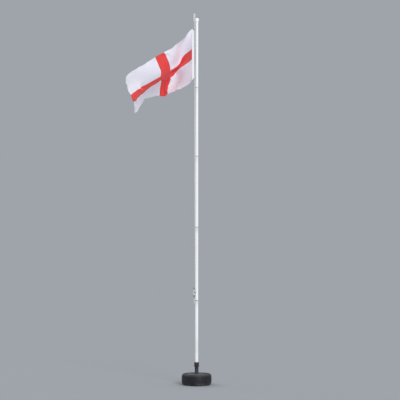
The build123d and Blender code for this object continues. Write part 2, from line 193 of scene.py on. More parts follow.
# Air and weight on the cloth, in seconds and metres, and the passes that settle and ease it. It is
# held back more in its last steps, from the calm share on.
WIND = (-9.0, 2.5, 0.6)
GUST_SPEED = 1.6
DRAG = 1.2
DAMPING = (0.03, 0.15)
CALM_SHARE = 0.6
GRAVITY = (0.0, 0.0, -9.8)
INTERVAL = 1 / 90
LENGTH_PASSES = 10
EASING_PASSES = 6

# Columns and rows of the relaxed cloth, its steps, and the pitch of its finished mesh.
CLOTH_GRIDS = ((86, 53), (58, 36))
CLOTH_STEPS = (300, 160)
CLOTH_PITCHES = (0.009, 0.016)

# Where the cloth's lines lie as seen from the front. Each point is the share of the fly, then X
# and Z on the flag's rope plane. The key is the share of the hoist.
LINES_ALONG = {
    0.0: ((0.154, -0.244, 6.712), (0.278, -0.425, 6.578), (0.388, -0.583, 6.457),
          (0.44, -0.66, 6.401), (0.56, -0.822, 6.314), (0.66, -0.976, 6.221), (0.77, -1.141, 6.117),
          (0.88, -1.29, 6.022), (0.94, -1.372, 5.952), (1.0, -1.405, 5.86)),
    0.4: ((0.10, -0.169, 6.424), (0.16, -0.251, 6.356), (0.21, -0.308, 6.256), (0.26, -0.343, 6.157),
          (0.32, -0.396, 6.097), (0.38, -0.449, 6.055), (0.44, -0.505, 6.022), (0.54, -0.686, 5.919),
          (0.68, -0.923, 5.788), (0.77, -1.078, 5.706), (0.87, -1.16, 5.649), (1.0, -1.294, 5.538)),
    0.6: ((0.10, -0.161, 6.217), (0.16, -0.236, 6.167), (0.22, -0.309, 6.121), (0.27, -0.362, 6.076),
          (0.32, -0.402, 6.014), (0.38, -0.459, 5.934), (0.44, -0.518, 5.895), (0.55, -0.685, 5.864),
          (0.70, -0.908, 5.706), (0.80, -1.047, 5.575), (0.88, -1.13, 5.502), (1.0, -1.227, 5.4)),
    1.0: ((0.07, -0.122, 5.784), (0.13, -0.203, 5.714), (0.22, -0.311, 5.653), (0.32, -0.439, 5.604),
          (0.44, -0.586, 5.548), (0.56, -0.735, 5.516), (0.68, -0.89, 5.481), (0.80, -1.025, 5.447),
          (0.87, -1.102, 5.321), (0.95, -1.159, 5.2), (1.0, -1.221, 5.165)),
}
# The same for the upright band's two edges, keyed by the share of the fly.
LINES_DOWN = {
    0.44: ((0.1, -0.618, 6.356), (0.2, -0.567, 6.235), (0.3, -0.531, 6.148), (0.62, -0.508, 5.876),
           (0.7, -0.537, 5.8), (0.8, -0.579, 5.708), (0.9, -0.589, 5.628)),
    0.56: ((0.1, -0.789, 6.239), (0.2, -0.743, 6.117), (0.3, -0.69, 6.01), (0.7, -0.694, 5.796),
           (0.8, -0.713, 5.698), (0.9, -0.724, 5.608)),
    1.0: ((0.2, -1.372, 5.726), (0.8, -1.219, 5.278)),
}


# Node trees.

def linear(colour):
    """Linear colour, with alpha, of a display colour given from 0 to 255."""
    shares = [value / 255 for value in colour]
    lit = [share / 12.92 if share <= 0.04045 else ((share + 0.055) / 1.055) ** 2.4 for share in shares]
    return (*lit, 1.0)


class Nodes:
    """A node tree and short ways to add to it."""

    def __init__(self, tree):
        self.tree = tree

    def put(self, socket, value):
        """Link or value on an input; three numbers on a colour input are a display colour."""
        if isinstance(value, bpy.types.NodeSocket):
            self.tree.links.new(value, socket)
        elif socket.type == "RGBA" and len(value) == 3:
            socket.default_value = linear(value)
        else:
            socket.default_value = value

    def add(self, kind, values=None, **settings):
        """Node with its settings, and with a value or a link on each named input."""
        node = self.tree.nodes.new("ShaderNode" + kind)
        for name, setting in settings.items():
            setattr(node, name, setting)
        for label, value in (values or {}).items():
            self.put(node.inputs[label], value)
        return node

    def math(self, operation, *values):
        return self.add("Math", dict(enumerate(values)), operation=operation).outputs[0]

    def total(self, first, *others):
        for other in others:
            first = self.math("ADD", first, other)
        return first

    def product(self, first, second):
        return self.math("MULTIPLY", first, second)

    def span(self, value, low, high, new_low=0.0, new_high=1.0):
        """Smooth step of a value from one range to another."""
        labels = ("Value", "From Min", "From Max", "To Min", "To Max")
        values = dict(zip(labels, (value, low, high, new_low, new_high)))
        return self.add("MapRange", values, interpolation_type="SMOOTHSTEP").outputs["Result"]

    def mix(self, factor, first, second):
        return self.add("Mix", {0: factor, 6: first, 7: second}, data_type="RGBA").outputs[2]

    def seen(self):
        """One where a ray comes from the viewer, a reflection or a clear material."""
        path = self.add("LightPath").outputs
        found = path["Is Camera Ray"]
        for label in ("Is Glossy Ray", "Is Transmission Ray"):
            found = self.math("MAXIMUM", found, path[label])
        return found

    def blend(self, output, factor, first, second):
        """Two shaders mixed into the tree's output."""
        mixed = self.add("MixShader", {0: factor, 1: first.outputs[0], 2: second.outputs[0]})
        self.put(self.tree.nodes[output].inputs["Surface"], mixed.outputs[0])


class Graph(Nodes):
    """A material's node tree around one principled shader."""

    def __init__(self, name, **settings):
        self.material = bpy.data.materials.new(name)
        self.material.use_nodes = True
        super().__init__(self.material.node_tree)
        self.shader = self.tree.nodes["Principled BSDF"]
        for label, value in settings.items():
            self.shader.inputs[label.replace("_", " ")].default_value = value
        self.place = self.add("TexCoord").outputs["Object"]

    def stretched(self, x, y, z):
        return self.add("Mapping", {"Vector": self.place, "Scale": (x, y, z)}).outputs[0]

    def noise(self, scale, detail=3.0, vector=None):
        values = {"Vector": vector or self.place, "Scale": scale, "Detail": detail}
        return self.add("TexNoise", values).outputs["Fac"]

    def cells(self, scale, feature="F1"):
        values = {"Vector": self.place, "Scale": scale}
        return self.add("TexVoronoi", values, feature=feature).outputs["Distance"]

    def axis(self, name, source=None):
        return self.add("SeparateXYZ", {0: source or self.place}).outputs[name]

    def cut(self, layer):
        return self.add("UVMap", uv_map=layer).outputs[0]

    def finished(self, colour, roughness=None, bump=None):
        """The material with its colour, its roughness, and its bump's height, distance and strength."""
        self.put(self.shader.inputs["Base Color"], colour)
        if roughness is not None:
            self.put(self.shader.inputs["Roughness"], roughness)
        if bump is not None:
            values = dict(zip(("Height", "Distance", "Strength"), bump))
            self.put(self.shader.inputs["Normal"], self.add("Bump", values).outputs[0])
        return self.material


# Materials.

def pole_paint():
    """White coating with faint streaks, grime at the foot and under joints, and at each joint a dark
    line that is painted shade of the gap between sections, with grime.
    """
    graph = Graph("pole_white", Coat_Weight=0.25, Coat_Roughness=0.12)
    height = graph.axis("Z")
    streaks = graph.span(graph.noise(1.0, 4, graph.stretched(95, 95, 1.6)), 0.5, 0.8)
    patches = graph.noise(3.0, 3)
    grime = graph.product(streaks, 0.22)
    joint_shade_bands = []
    for joint in JOINT_HEIGHTS:
        below = graph.math("SUBTRACT", joint, height)
        near = graph.product(graph.span(below, -0.006, 0.0), graph.span(below, 0.0, 0.16, 1.0, 0.0))
        grime = graph.total(grime, graph.product(near, graph.span(patches, 0.3, 0.7, 0.15, 0.5)))
        joint_shade_bands.append(graph.span(graph.math("ABSOLUTE", below), 0.002, 0.012, 1.0, 0.0))
    foot = graph.span(height, 0.4, 1.3, 0.35, 0.0)
    grime = graph.total(grime, graph.product(foot, graph.span(patches, 0.35, 0.65)))
    clean = graph.mix(patches, (237, 239, 241), (246, 247, 248))
    coat = graph.mix(graph.math("MINIMUM", grime, 0.6), clean, (176, 175, 168))
    # Each joint's line is painted shade of the gap between sections, with grime; the lines are darker on
    # the lower joints, which hands reach.
    handled = graph.span(height, 1.5, 5.7, 0.8, 0.3)
    line = graph.product(graph.total(*joint_shade_bands), graph.product(handled, graph.noise(130, 2)))
    roughness = graph.span(patches, 0.2, 0.8, 0.30, 0.44)
    bump = (graph.noise(420, 1), 0.0002, 0.35)
    return graph.finished(graph.mix(line, coat, (60, 59, 60)), roughness, bump)


def joint_paint():
    """Dull dark grey of the stop rings between the pole's sections."""
    graph = Graph("joint_ring", Roughness=0.6)
    colour = graph.mix(graph.noise(60), (34, 35, 38), (62, 63, 66))
    return graph.finished(colour, bump=(graph.noise(300), 0.0002, 0.4))


def rubber():
    """Weathered tyre rubber: bluish black, dusty low down and on the upper side, with fine cracks."""
    graph = Graph("tyre_rubber", Specular_IOR_Level=0.35)
    height = graph.axis("Z")
    normal = graph.axis("Z", graph.add("NewGeometry").outputs["Normal"])
    mottle = graph.noise(9, 4)
    fine = graph.noise(160, 3)
    up = graph.product(graph.span(normal, 0.2, 0.95), graph.span(mottle, 0.3, 0.7, 0.35, 0.9))
    splash = graph.product(graph.span(height, 0.0, 0.07, 0.7, 0.0), graph.span(mottle, 0.4, 0.62))
    dust = graph.math("MINIMUM", graph.total(up, splash, graph.product(fine, 0.12)), 0.85)
    black = graph.mix(mottle, (17, 18, 21), (36, 38, 43))
    crack = graph.span(graph.cells(120, "DISTANCE_TO_EDGE"), 0.0, 0.06)
    relief = graph.total(graph.product(fine, 0.5), graph.product(crack, 0.25))
    roughness = graph.span(dust, 0.0, 0.8, 0.46, 0.85)
    return graph.finished(graph.mix(dust, black, (90, 89, 90)), roughness, (relief, 0.0006, 0.5))


def concrete():
    """Rough grey concrete with aggregate and pits, darker in patches, with painted shade in the pits."""
    graph = Graph("concrete", Roughness=0.9, Specular_IOR_Level=0.25)
    broad = graph.noise(8, 4)
    grain = graph.noise(240, 4)
    stones = graph.span(graph.cells(75), 0.12, 0.3)
    pits = graph.span(graph.cells(46), 0.05, 0.13)
    body = graph.mix(graph.span(broad, 0.3, 0.7), (94, 96, 102), (132, 135, 142))
    body = graph.mix(graph.span(grain, 0.3, 0.75), graph.mix(0.35, body, (70, 72, 76)), body)
    body = graph.mix(stones, graph.mix(0.5, body, (178, 174, 166)), body)
    relief = graph.total(graph.product(grain, 0.6), pits, graph.product(stones, -0.3))
    # The pits' dark colour is painted shade in the hollows.
    return graph.finished(graph.mix(pits, (60, 61, 64), body), bump=(relief, 0.0016, 0.8))


def dark_steel():
    """Near-black paint with a purple tinge over steel, worn brown in patches and dusty low down."""
    graph = Graph("socket_steel", Specular_IOR_Level=0.3)
    wear = graph.span(graph.noise(34, 5), 0.62, 0.74)
    dust = graph.product(graph.span(graph.axis("Z"), 0.2, 0.3, 0.4, 0.04), graph.noise(18, 4))
    paint = graph.mix(graph.noise(12, 3), (36, 30, 38), (58, 51, 60))
    paint = graph.mix(wear, paint, (84, 60, 48))
    relief = graph.total(graph.product(graph.noise(260, 3), 0.5), graph.product(wear, -0.6))
    roughness = graph.span(wear, 0.0, 1.0, 0.42, 0.8)
    return graph.finished(graph.mix(dust, paint, (138, 136, 134)), roughness, (relief, 0.0005, 0.5))


def gloss_white():
    """Moulded white plastic of the cap, with a light film of dirt in patches."""
    graph = Graph("truck_white", Coat_Weight=0.3, Coat_Roughness=0.08)
    film = graph.span(graph.noise(22, 4), 0.45, 0.75, 0.0, 0.35)
    colour = graph.mix(film, (248, 249, 249), (206, 205, 198))
    roughness = graph.span(film, 0.0, 0.35, 0.25, 0.5)
    return graph.finished(colour, roughness, (graph.noise(350, 2), 0.0001, 0.3))


def fork_paint():
    """Painted metal of the fork, chipped to bare grey at a few spots."""
    graph = Graph("fork_metal")
    chips = graph.span(graph.noise(85, 4), 0.66, 0.7)
    film = graph.noise(30, 3)
    paint = graph.mix(film, (236, 237, 238), (249, 249, 249))
    colour = graph.mix(chips, paint, (120, 116, 112))
    bump = (graph.product(chips, -1.0), 0.0002, 0.8)
    return graph.finished(colour, graph.span(film, 0.2, 0.8, 0.34, 0.52), bump)


def nylon(name, dark, light, roughness):
    """Moulded plastic with a fine grain and faint flow marks."""
    graph = Graph(name, Roughness=roughness)
    relief = graph.total(graph.noise(900, 2), graph.noise(120, 2))
    return graph.finished(graph.mix(graph.noise(45, 4), dark, light), bump=(relief, 0.00015, 0.4))


def steel(name, dark, light):
    """Bright metal with fine brushing."""
    graph = Graph(name, Metallic=1.0)
    brushed = graph.noise(600, 3, graph.stretched(1.0, 1.0, 0.08))
    roughness = graph.span(brushed, 0.2, 0.8, 0.22, 0.42)
    return graph.finished(graph.mix(brushed, dark, light), roughness, (brushed, 0.00005, 0.3))


def rope_fibre():
    """White rope yarn: fine slanting fibres along each strand, slightly weathered."""
    graph = Graph("rope", Roughness=0.75, Sheen_Weight=0.25, Sheen_Roughness=0.5)
    lay = graph.cut("lay")
    along = graph.product(graph.axis("X", lay), 2600.0)
    around = graph.product(graph.axis("Y", lay), 40.0)
    fibres = graph.span(graph.math("SINE", graph.total(along, around)), -1.0, 1.0)
    clean = graph.mix(graph.noise(6, 4), (238, 238, 238), (250, 250, 250))
    colour = graph.mix(graph.product(fibres, 0.16), clean, (214, 213, 210))
    return graph.finished(colour, bump=(fibres, 0.0002, 0.4))


def woven(graph, lay, pitch):
    """Height of a plain weave whose threads lie pitch apart."""
    turns = 2 * pi / pitch
    warp = graph.math("SINE", graph.product(graph.axis("X", lay), turns))
    weft = graph.math("SINE", graph.product(graph.axis("Y", lay), turns))
    return graph.product(warp, weft)


def cross_place(graph, lay, half_width):
    """One on the cross and nought beside it, by the cloth's own measures."""
    upright = graph.math("COMPARE", graph.axis("X", lay), FLY / 2, half_width)
    level = graph.math("COMPARE", graph.axis("Y", lay), HOIST / 2, half_width)
    return graph.math("MAXIMUM", upright, level)


def flag_fabric():
    """White bunting with a plain red cross sewn in, lightly soiled towards the fly."""
    sheen = {"Sheen_Weight": 0.2, "Sheen_Roughness": 0.45}
    graph = Graph("cloth", Roughness=0.82, Specular_IOR_Level=0.3, **sheen)
    lay = graph.cut("cut")
    fade = graph.noise(5, 4)
    white = graph.mix(fade, (241, 237, 250), (250, 246, 254))
    outer = graph.span(graph.axis("X", lay), 1.2, FLY, 0.0, 0.2)
    soil = graph.product(outer, graph.span(graph.noise(11, 4), 0.4, 0.7))
    white = graph.mix(soil, white, (214, 210, 216))
    red = graph.mix(fade, (240, 66, 66), (247, 80, 76))
    colour = graph.mix(cross_place(graph, lay, CROSS_ARM / 2), white, red)
    thread = graph.span(graph.noise(900, 2), 0.3, 0.8, 0.0, 0.04)
    colour = graph.mix(thread, colour, (130, 120, 130))
    return graph.finished(colour, bump=(woven(graph, lay, 0.0012), 0.00012, 0.5))


def seam_fabric():
    """Folded strips of the hems and of the cross's seams."""
    graph = Graph("cloth_seams", Roughness=0.82, Sheen_Weight=0.2, Sheen_Roughness=0.45)
    lay = graph.cut("cut")
    fade = graph.noise(5, 4)
    white = graph.mix(fade, (238, 234, 247), (248, 244, 252))
    red = graph.mix(fade, (234, 60, 62), (242, 74, 72))
    colour = graph.mix(cross_place(graph, lay, (CROSS_ARM + SEAM_WIDTH) / 2), white, red)
    return graph.finished(colour, bump=(woven(graph, lay, 0.0014), 0.00015, 0.5))


def header_canvas():
    """Stout white tape of the hoist, with a diagonal twill."""
    graph = Graph("header_tape", Roughness=0.85, Sheen_Weight=0.15, Sheen_Roughness=0.5)
    slant = graph.product(graph.total(graph.axis("X"), graph.axis("Z")), 4200.0)
    wear = graph.noise(26, 4)
    relief = graph.total(graph.math("SINE", slant), graph.product(wear, 0.5))
    return graph.finished(graph.mix(wear, (236, 234, 242), (248, 246, 251)), bump=(relief, 0.0002, 0.5))


# Meshes.

def grid_faces(rows, columns, closed_rows=False, closed_columns=False):
    """Quads over a grid of points stored row by row."""
    row_count = rows if closed_rows else rows - 1
    column_count = columns if closed_columns else columns - 1
    row = np.arange(row_count)[:, None]
    column = np.arange(column_count)[None, :]
    after_row = (row + 1) % rows
    after_column = (column + 1) % columns
    corners = [row * columns + column, after_row * columns + column]
    corners += [after_row * columns + after_column, row * columns + after_column]
    shape = (row_count, column_count)
    return np.stack([np.broadcast_to(corner, shape) for corner in corners], -1).reshape(-1, 4)


def end_caps(rings, segments):
    """Faces that close the first and the last of a row of rings."""
    last = (rings - 1) * segments
    return [list(range(segments))[::-1], [last + number for number in range(segments)]]


def placed(name, data):
    """Object of some data, in the scene."""
    thing = bpy.data.objects.new(name, data)
    bpy.context.scene.collection.objects.link(thing)
    return thing


def new_mesh(name, points, faces):
    """Mesh of points and faces."""
    mesh = bpy.data.meshes.new(name)
    mesh.from_pydata(np.asarray(points).tolist(), [], [list(map(int, face)) for face in faces])
    mesh.update()
    return mesh


def add_piece(name, points, faces, material, body, lay=None, layer="cut"):
    """Piece on its body from points and faces, with a layer of lay coordinates if it has them."""
    mesh = new_mesh(name, points, faces)
    if lay is not None:
        loops = np.zeros(len(mesh.loops), dtype=np.int64)
        mesh.loops.foreach_get("vertex_index", loops)
        coordinates = mesh.uv_layers.new(name=layer)
        coordinates.data.foreach_set("uv", np.asarray(lay)[loops].astype(np.float32).ravel())
    mesh.materials.append(material)
    mesh.shade_smooth()
    piece = placed(name, mesh)
    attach(piece, body)
    return piece


def turned_points(profile, segments, place=Matrix.Identity(4), flats=None):
    """Rings of points round a place's Z axis by radius and height, with so many flats where given."""
    angles = 2 * pi * np.arange(segments) / segments
    rings = []
    for number, (radius, height) in enumerate(profile):
        reach = np.full(segments, radius)
        if flats and flats[number]:
            sides = flats[number]
            local = (angles + pi / sides) % (2 * pi / sides) - pi / sides
            reach = radius / np.cos(local)
        ring = np.stack([reach * np.cos(angles), reach * np.sin(angles), np.full(segments, height)], -1)
        rings.append(ring)
    points = np.concatenate(rings)
    turn = np.array(place.to_3x3())
    return points @ turn.T + np.array(place.translation)


def add_turned(name, profile, segments, material, body, place=Matrix.Identity(4), flats=None):
    """Closed turned solid: its first and last rings are capped."""
    points = turned_points(profile, segments, place, flats)
    faces = grid_faces(len(profile), segments, closed_columns=True)[:, ::-1].tolist()
    faces += end_caps(len(profile), segments)
    return add_piece(name, points, faces, material, body)


def axes_to(direction, origin):
    """Frame at a point whose local Z axis runs along a direction."""
    turn = Vector(direction).to_track_quat("Z", "Y").to_matrix().to_4x4()
    return Matrix.Translation(Vector(origin)) @ turn


def run_along(points):
    """Distance from the first point of a line to each of its points."""
    steps = np.linalg.norm(np.diff(points, axis=0), axis=1)
    return np.concatenate([[0.0], np.cumsum(steps)])


def along_route(points, step):
    """Even points along the smooth route that has these control points."""
    curve = bpy.data.curves.new("route", "CURVE")
    curve.dimensions = "3D"
    curve.resolution_u = 32
    spline = curve.splines.new("NURBS")
    spline.points.add(len(points) - 1)
    for control, place in zip(spline.points, points):
        control.co = (*place, 1.0)
    spline.order_u = 3
    spline.use_endpoint_u = True
    holder = bpy.data.objects.new("route", curve)
    line = bpy.data.meshes.new_from_object(holder)
    read = np.array([vertex.co[:] for vertex in line.vertices])
    bpy.data.objects.remove(holder)
    bpy.data.curves.remove(curve)
    bpy.data.meshes.remove(line)
    run = run_along(read)
    count = max(2, int(round(run[-1] / step)) + 1)
    even = np.linspace(0.0, run[-1], count)
    return np.stack([np.interp(even, run, read[:, axis]) for axis in range(3)], -1)


def carried_frames(points):
    """Unit tangents of a line and two normals that are carried along it without twist."""
    tangents = np.gradient(points, axis=0)
    tangents /= np.linalg.norm(tangents, axis=1, keepdims=True)
    start = np.cross(tangents[0], (0.0, 1.0, 0.3))
    normals = [start / np.linalg.norm(start)]
    for tangent in tangents[1:]:
        normal = normals[-1] - tangent * normals[-1].dot(tangent)
        normals.append(normal / np.linalg.norm(normal))
    normals = np.array(normals)
    return tangents, normals, np.cross(tangents, normals)


def add_laid_rope(name, points, material, sides=6):
    """Rope of twisted strands along a line of points."""
    tangents, normals, binormals = carried_frames(points)
    run = run_along(points)
    around = 2 * pi * np.arange(sides) / sides
    lay = np.stack(np.broadcast_arrays(run[:, None], around[None, :]), -1).reshape(-1, 2)
    all_points = []
    all_faces = []
    for strand in range(STRAND_COUNT):
        turn = 2 * pi * (run / STRAND_PITCH + strand / STRAND_COUNT)
        out = np.cos(turn)[:, None] * normals + np.sin(turn)[:, None] * binormals
        side = -np.sin(turn)[:, None] * normals + np.cos(turn)[:, None] * binormals
        centre = points + (ROPE_RADIUS - STRAND_RADIUS) * out
        section = np.cos(around)[None, :, None] * out[:, None]
        section = section + np.sin(around)[None, :, None] * side[:, None]
        faces = grid_faces(len(points), sides, closed_columns=True).tolist()
        faces += end_caps(len(points), sides)
        offset = strand * len(points) * sides
        all_faces += [[offset + corner for corner in face] for face in faces]
        all_points.append((centre[:, None] + STRAND_RADIUS * section).reshape(-1, 3))
    lay = np.concatenate([lay] * STRAND_COUNT)
    return add_piece(name, np.concatenate(all_points), all_faces, material, "pole", lay, "lay")


# Halyard, its turns on the cleat and its tail.

def halyard_route():
    """Control points: up the flag's side, round the sheave, and down the free side."""
    wrap = []
    facets = 4
    half_facet = pi / facets / 2
    reach = WRAP_RADIUS / cos(half_facet)
    for number in range(facets):
        angle = pi - half_facet - number * 2 * half_facet
        wrap.append((SHEAVE_X, reach * cos(angle), SHEAVE_Z + reach * sin(angle)))
    drop = WRAP_RADIUS * sin(half_facet) / cos(half_facet)
    route = [(*FLAG_LINE_END, LINE_END_Z)]
    route += head_side(FLAG_LINE_LEAD, -WRAP_RADIUS)
    route.append((SHEAVE_X, -WRAP_RADIUS, SHEAVE_Z - drop))
    route += wrap
    route.append((SHEAVE_X, WRAP_RADIUS, SHEAVE_Z - drop))
    route += head_side(FREE_LINE_LEAD, WRAP_RADIUS)[::-1]
    route.append((*FREE_LINE_END, LINE_END_Z))
    return route


def head_side(lead, wrap_y):
    """Corners of one long straight part of the halyard, each with a point beside it on the run."""
    low = Vector((*lead, LEAD_Z))
    high = Vector((SHEAVE_X, wrap_y, HEAD_RUN_Z))
    along = (high - low).normalized()
    return [low, low + along * 0.048, high - along * 0.05, high]


def cleat_point(across, out, up):
    """Point by its place across the pole, out from its axis, and up from the cleat's middle."""
    angle = radians(CLEAT_AZIMUTH)
    outward = Vector((cos(angle), sin(angle), 0.0))
    sideways = Vector((sin(angle), -cos(angle), 0.0))
    return Vector((0.0, 0.0, CLEAT_Z)) + outward * out + sideways * across + Vector((0.0, 0.0, up))


def horn_wraps(count, way):
    """Control points of the wraps round one horn, from the neck outwards, up or down by the sign."""
    route = []
    for wrap in range(count):
        level = HORN_WRAP_START + HORN_WRAP_PITCH * wrap
        route += [(across, out, way * (level + along)) for across, out, along in HORN_WRAP]
    return route


def turns_route():
    """Control points on the cleat: crossed turns, wraps round both horns, then the tail's start."""
    route = [(-0.0177, 0.0425, 0.040), (-0.0175, 0.0425, 0.015), (-0.0165, 0.0430, -0.010)]
    for turn in range(2):
        shift = 0.0045 - 0.009 * turn
        peak = 0.036 + 0.009 * turn
        side = 0.0165 + 0.001 * turn
        route += [
            (-side, 0.0435, -peak * 0.72),
            (-0.005, 0.0415, -peak),
            (side - 0.003, 0.0430, -peak * 0.86),
            (side, 0.0500, -peak * 0.50),
            (0.008 + shift, 0.0610, -0.010),
            (-0.008 + shift, 0.0610, 0.010),
            (-side, 0.0510, peak * 0.50),
            (-side + 0.003, 0.0430, peak * 0.74),
            (0.005, 0.0415, peak * 0.80),
            (side, 0.0440, peak * 0.70),
            (side + 0.001, 0.0540, peak * 0.42),
            (0.008 - shift, 0.0680, 0.009),
            (-0.008 - shift, 0.0680, -0.010),
            (-side - 0.001, 0.0550, -peak * 0.44),
        ]
    route += [(-0.0165, 0.0435, -0.040), (-0.004, 0.0415, -0.053), (0.0135, 0.0430, -0.042)]
    route += [(0.0165, 0.0520, -0.020), (0.0140, 0.0640, 0.006)]
    route += horn_wraps(4, 1)
    route += [(0.0185, 0.0600, 0.040), (0.0205, 0.0600, 0.006), (0.0160, 0.0610, -0.016)]
    route += horn_wraps(3, -1)
    route += [(0.0165, 0.0520, -0.052), (0.0160, 0.0450, -0.050), (0.0140, 0.0442, -0.047)]
    return [cleat_point(*place) for place in route]


def add_whipping(line, yarn):
    """Yarn wound round the rope's bare end in nine close turns."""
    end = Vector(line[-1] - line[-6]).normalized()
    profile = [(0.0030, -0.0005), (0.0043, 0.0), (0.0045, 0.001)]
    for number in range(9):
        profile += [(0.0046, 0.002 + number * 0.0011), (0.0043, 0.00255 + number * 0.0011)]
    profile += [(0.0043, 0.0123), (0.0032, 0.0127)]
    place = axes_to(-end, Vector(line[-1]) - end * 0.0002)
    return add_turned("tail_whipping", profile, 20, yarn, "pole", place)


def add_ropes():
    """Halyard, the turns on the cleat, and the free end with its whipping."""
    yarn = rope_fibre()
    halyard = add_laid_rope("halyard_rope", along_route(halyard_route(), HALYARD_STEP), yarn)
    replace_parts(halyard, "halyard")
    line = along_route(turns_route(), TURNS_STEPS[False])
    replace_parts(add_laid_rope("halyard_turns_rope", line, yarn, sides=8), "halyard_turns")
    line = along_route(TAIL_ROUTE, TAIL_STEP)
    tail = add_laid_rope("halyard_tail_rope", line, yarn, sides=10)
    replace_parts(tail, "halyard_tail")
    whipping = add_whipping(line, yarn)


# Flag.

def flag_axes():
    """Flag's frame on its rope: the origin at the flag's top, out along the fly, front, and up."""
    head = np.array((SHEAVE_X, -WRAP_RADIUS, HEAD_RUN_Z))
    foot = np.array((*FLAG_LINE_LEAD, LEAD_Z))
    up = (head - foot) / np.linalg.norm(head - foot)
    origin = foot + (head - foot) * (FLAG_TOP - LEAD_Z) / (HEAD_RUN_Z - LEAD_Z)
    out = np.array((-1.0, 0.0, 0.0))
    out -= up * out.dot(up)
    out /= np.linalg.norm(out)
    return origin, out, np.cross(up, out), up


def spline_weights(knots, places):
    """Share of each knot in a smooth curve through evenly spaced knots, at places from 0 to 1."""
    pitch = 1 / (knots - 1)
    bending = np.eye(knots)
    rise = np.zeros((knots, knots))
    for knot in range(1, knots - 1):
        bending[knot, knot - 1:knot + 2] = (pitch / 6, 2 * pitch / 3, pitch / 6)
        rise[knot, knot - 1:knot + 2] = (1 / pitch, -2 / pitch, 1 / pitch)
    curvature = np.linalg.solve(bending, rise)
    weights = np.zeros((len(places), knots))
    for number, place in enumerate(places):
        knot = min(int(place / pitch), knots - 2)
        left = (knot + 1) * pitch - place
        right = place - knot * pitch
        weights[number, knot] += left / pitch
        weights[number, knot + 1] += right / pitch
        weights[number] += curvature[knot] * (left ** 3 / (6 * pitch) - left * pitch / 6)
        weights[number] += curvature[knot + 1] * (right ** 3 / (6 * pitch) - right * pitch / 6)
    return weights


def guide_surface(columns, rows):
    """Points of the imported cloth's surface over an even grid."""
    origin, out, front, up = flag_axes()
    cloth_length = FLY - HEADER_WIDTH
    shares = np.array(GUIDE_LINES)
    knots = origin + (HEADER_OFFSET + HEADER_WIDTH + shares[..., :1] * cloth_length) * out
    knots = knots - shares[..., 1:2] * cloth_length * front - shares[..., 2:] * HOIST * up
    down = spline_weights(shares.shape[0], np.linspace(0.0, 1.0, rows + 1))
    across = spline_weights(shares.shape[1], np.linspace(0.0, 1.0, columns + 1))
    return np.einsum("ci,rj,jik->crk", across, down, knots)


def sight_guides(columns, rows):
    """Grid places of the guide points, and the lines of sight that they lie on."""
    places = [(share, down, x, z) for down, points in LINES_ALONG.items() for share, x, z in points]
    places += [(share, down, x, z) for share, points in LINES_DOWN.items() for down, x, z in points]
    share, down, x, z = np.array(places).T
    column = np.clip((share * FLY - HEADER_WIDTH) / (FLY - HEADER_WIDTH), 0.0, 1.0) * columns
    eye = np.array(CAMERA_PLACE)
    rays = np.stack([x, np.full(len(places), -WRAP_RADIUS), z], -1) - eye
    rays /= np.linalg.norm(rays, axis=1, keepdims=True)
    return column, down * rows, eye, rays


def spread_weights(column, row, columns, rows, reach):
    """Share of each guide point's pull that each point of the cloth takes."""
    across = np.arange(columns + 1)[:, None, None]
    down = np.arange(rows + 1)[None, :, None]
    square = (across - column) ** 2 + (down - row) ** 2
    return np.exp(-square / (2 * reach ** 2)).reshape(-1, len(column)).T


def keep_length(cloth, first, second, rest, share):
    """Move pairs of points towards their length in the flat cloth."""
    gap = cloth[second] - cloth[first]
    length = np.linalg.norm(gap, axis=-1, keepdims=True) + 1e-9
    move = gap * ((length - rest) / length * 0.5 * share)
    cloth[first] += move
    cloth[second] -= move


def links(columns, rows, across, down):
    """Pairs of grid points that lie a step apart, in sets that share no point."""
    low = max(0, -down)
    high = rows + 1 - max(0, down)
    pairs = []
    for start in range(2 * (across or down)):
        if across:
            first = (slice(start, columns + 1 - across, 2 * across), slice(low, high))
            second = (slice(start + across, columns + 1, 2 * across), slice(low + down, high + down))
        else:
            first = (slice(None), slice(start, rows + 1 - down, 2 * down))
            second = (slice(None), slice(start + down, rows + 1, 2 * down))
        pairs.append((first, second))
    return pairs


def cloth_springs(columns, rows):
    """Every set of links of the cloth, with its flat length and its stiffness."""
    pitch_across = (FLY - HEADER_WIDTH) / columns
    pitch_down = HOIST / rows
    springs = []
    for across, down, share in SPRINGS:
        rest = float(np.hypot(across * pitch_across, down * pitch_down))
        springs += [(first, second, rest, share) for first, second in links(columns, rows, across, down)]
    return springs


def surface_normals(cloth):
    """Unit normals of a grid of points."""
    normals = np.cross(np.gradient(cloth, axis=0), np.gradient(cloth, axis=1))
    return normals / (np.linalg.norm(normals, axis=-1, keepdims=True) + 1e-12)


def extended(grid, axis):
    """A grid with one more line of points at both ends of an axis, carried straight on."""
    first, second, fore, last = (grid.take([number], axis) for number in (0, 1, -2, -1))
    return np.concatenate([2 * first - second, grid, 2 * last - fore], axis)


def sample_grid(cloth, column, row):
    """Points of a grid at fractional places, on a smooth surface through its points."""
    def weights(share):
        return (
            -0.5 * share + share ** 2 - 0.5 * share ** 3,
            1 - 2.5 * share ** 2 + 1.5 * share ** 3,
            0.5 * share + 2 * share ** 2 - 1.5 * share ** 3,
            -0.5 * share ** 2 + 0.5 * share ** 3,
        )

    padded = extended(extended(cloth, 0), 1)
    base_column = np.clip(column.astype(int), 0, cloth.shape[0] - 2)
    base_row = np.clip(row.astype(int), 0, cloth.shape[1] - 2)
    total = 0.0
    for step_column, share_column in enumerate(weights(column - base_column)):
        for step_row, share_row in enumerate(weights(row - base_row)):
            share = (share_column * share_row)[..., None]
            total = total + share * padded[base_column + step_column, base_row + step_row]
    return total


def air_speed(along, down, step):
    """Wind over the cloth at a step, with gusts that run out along the fly."""
    gust = np.sin(9 * along - 7 * step * INTERVAL + 3 * down)
    gust = gust + 0.6 * np.sin(17 * along - 11 * step * INTERVAL - 5 * down + 1)
    return np.array(WIND) + np.stack([0 * gust, GUST_SPEED * gust, 0 * gust], -1)


